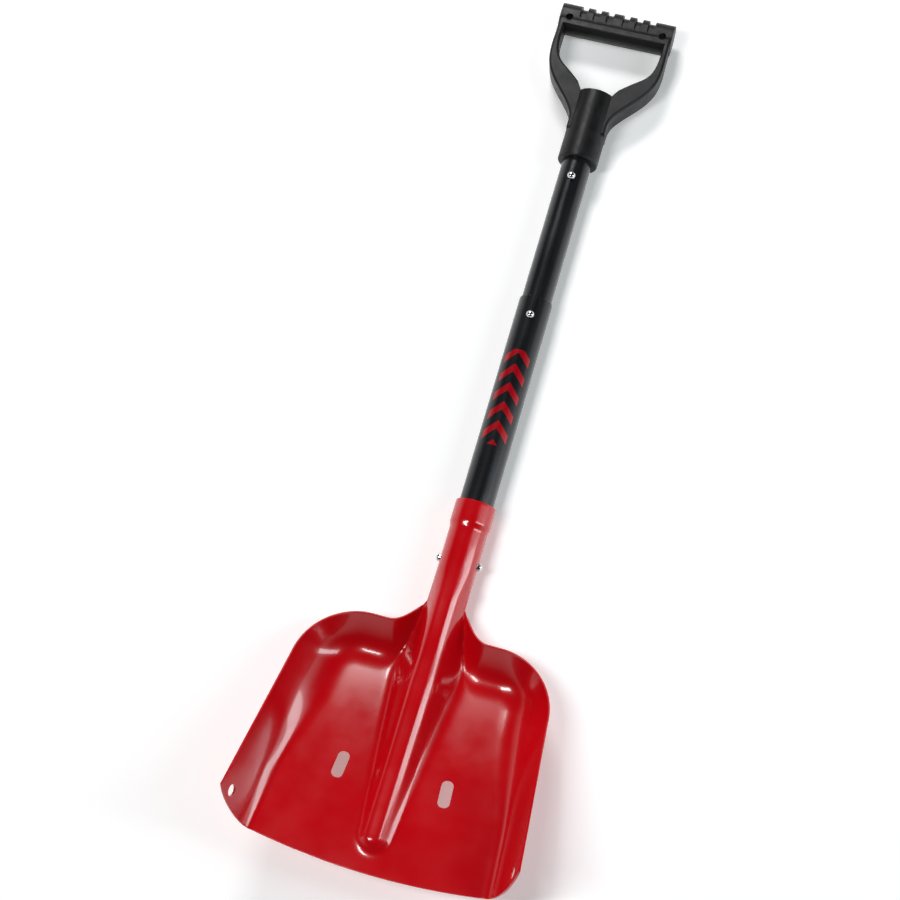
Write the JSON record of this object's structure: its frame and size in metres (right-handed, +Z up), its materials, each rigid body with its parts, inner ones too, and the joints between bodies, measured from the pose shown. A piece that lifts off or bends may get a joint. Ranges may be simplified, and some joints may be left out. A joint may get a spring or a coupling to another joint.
{
  "type": "avalanche shovel",
  "caption": "Compact snow shovel: one-piece pressed scoop on a two-piece telescoping shaft with snap-button locks and a D grip.",
  "frame": {"origin": "on the ground below the middle of the extended shovel, which lies on its back", "axes": "+Y along the shaft from the digging edge to the grip, +Z up out of the scoop's load side, +X across the scoop"},
  "size_m": [0.2588, 0.8602, 0.0951],
  "materials": {
    "scoop": "gloss red powder coat",
    "tube": "black anodised, semi-gloss",
    "grip": "moulded black nylon, satin",
    "button": "bright plated",
    "spring": "spring steel strip"
  },
  "bodies": {
    "blade": {"blade": "scoop"},
    "lower_shaft": {"lower_tube": "tube", "release_spring": "spring"},
    "upper_shaft": {"upper_tube": "tube", "grip": "grip", "extension_lock_spring": "spring", "compact_lock_spring": "spring"},
    "extension_button": {"extension_lock_button": "button"},
    "compact_button": {"compact_lock_button": "button"},
    "release_left": {"release_button_left": "button"},
    "release_right": {"release_button_right": "button"}
  },
  "joints": [
    {"name": "blade_release", "type": "slide", "parent": "blade", "child": "lower_shaft", "axis": [0, 1, 0], "range_m": [0, 0.115]},
    {"name": "telescope", "type": "slide", "parent": "lower_shaft", "child": "upper_shaft", "axis": [0, 1, 0], "range_m": [-0.147, 0]},
    {"name": "extension_button_press", "type": "slide", "parent": "upper_shaft", "child": "extension_button", "axis": [0, 0, -1], "range_m": [0, 0.0047], "stiffness_N_per_m": 2000, "springref_m": -0.002, "deforming": ["extension_lock_spring", "extension_lock_button"]},
    {"name": "compact_button_press", "type": "slide", "parent": "upper_shaft", "child": "compact_button", "axis": [0, 0, -1], "range_m": [0, 0.0047], "stiffness_N_per_m": 2000, "springref_m": -0.002, "deforming": ["compact_lock_spring", "compact_lock_button"]},
    {"name": "release_left_press", "type": "slide", "parent": "lower_shaft", "child": "release_left", "axis": [1, 0, 0], "range_m": [0, 0.0061], "stiffness_N_per_m": 2000, "springref_m": -0.002, "deforming": ["release_spring", "release_button_left"]},
    {"name": "release_right_press", "type": "slide", "parent": "lower_shaft", "child": "release_right", "axis": [-1, 0, 0], "range_m": [0, 0.0061], "stiffness_N_per_m": 2000, "springref_m": -0.002, "deforming": ["release_button_right"]}
  ]
}
